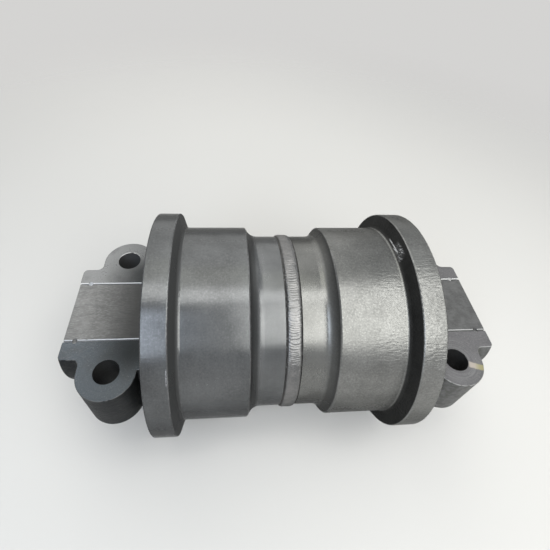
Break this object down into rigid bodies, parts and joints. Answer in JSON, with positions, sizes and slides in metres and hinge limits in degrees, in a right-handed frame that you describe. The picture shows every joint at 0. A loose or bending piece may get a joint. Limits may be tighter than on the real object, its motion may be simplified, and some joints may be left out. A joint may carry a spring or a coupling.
{
  "type": "track bottom roller",
  "caption": "Double-flanged track bottom roller: welded shell halves turning on a fixed shaft, with eared end collars that bolt under a track frame.",
  "frame": {"origin": "on the roller's axis, midway along it", "axes": "+X along the roller's axis, +Z square to the mounting flats and out of them"},
  "size_m": [0.542, 0.287, 0.287],
  "materials": {
    "shell_steel": "satin dark grey coat over turned steel",
    "weld_metal": "satin grey rippled weld",
    "collar_steel": "satin dark grey coat over forged steel",
    "shaft_steel": "satin grey coat over milled steel",
    "plug_steel": "zinc plated",
    "spring_wire": "drawn wire",
    "bush_bronze": "turned bronze",
    "seal_iron": "lapped face",
    "seal_rubber": "matt black"
  },
  "bodies": {
    "axle": {"shaft": "shaft_steel", "oil_plug": "plug_steel", "collar_left": "collar_steel", "retaining_ring_left": "spring_wire", "shaft_oring_left": "seal_rubber", "seal_ring_fixed_left": "seal_iron", "seal_toric_fixed_left": "seal_rubber", "collar_right": "collar_steel", "retaining_ring_right": "spring_wire", "shaft_oring_right": "seal_rubber", "seal_ring_fixed_right": "seal_iron", "seal_toric_fixed_right": "seal_rubber"},
    "roller": {"weld_bead": "weld_metal", "roller_shell_left": "shell_steel", "bush_left": "bush_bronze", "seal_ring_turning_left": "seal_iron", "seal_toric_turning_left": "seal_rubber", "roller_shell_right": "shell_steel", "bush_right": "bush_bronze", "seal_ring_turning_right": "seal_iron", "seal_toric_turning_right": "seal_rubber"}
  },
  "joints": [
    {"name": "roller_spin", "type": "hinge", "parent": "axle", "child": "roller", "pos_m": [0, 0, 0], "axis": [1, 0, 0], "continuous": true}
  ]
}
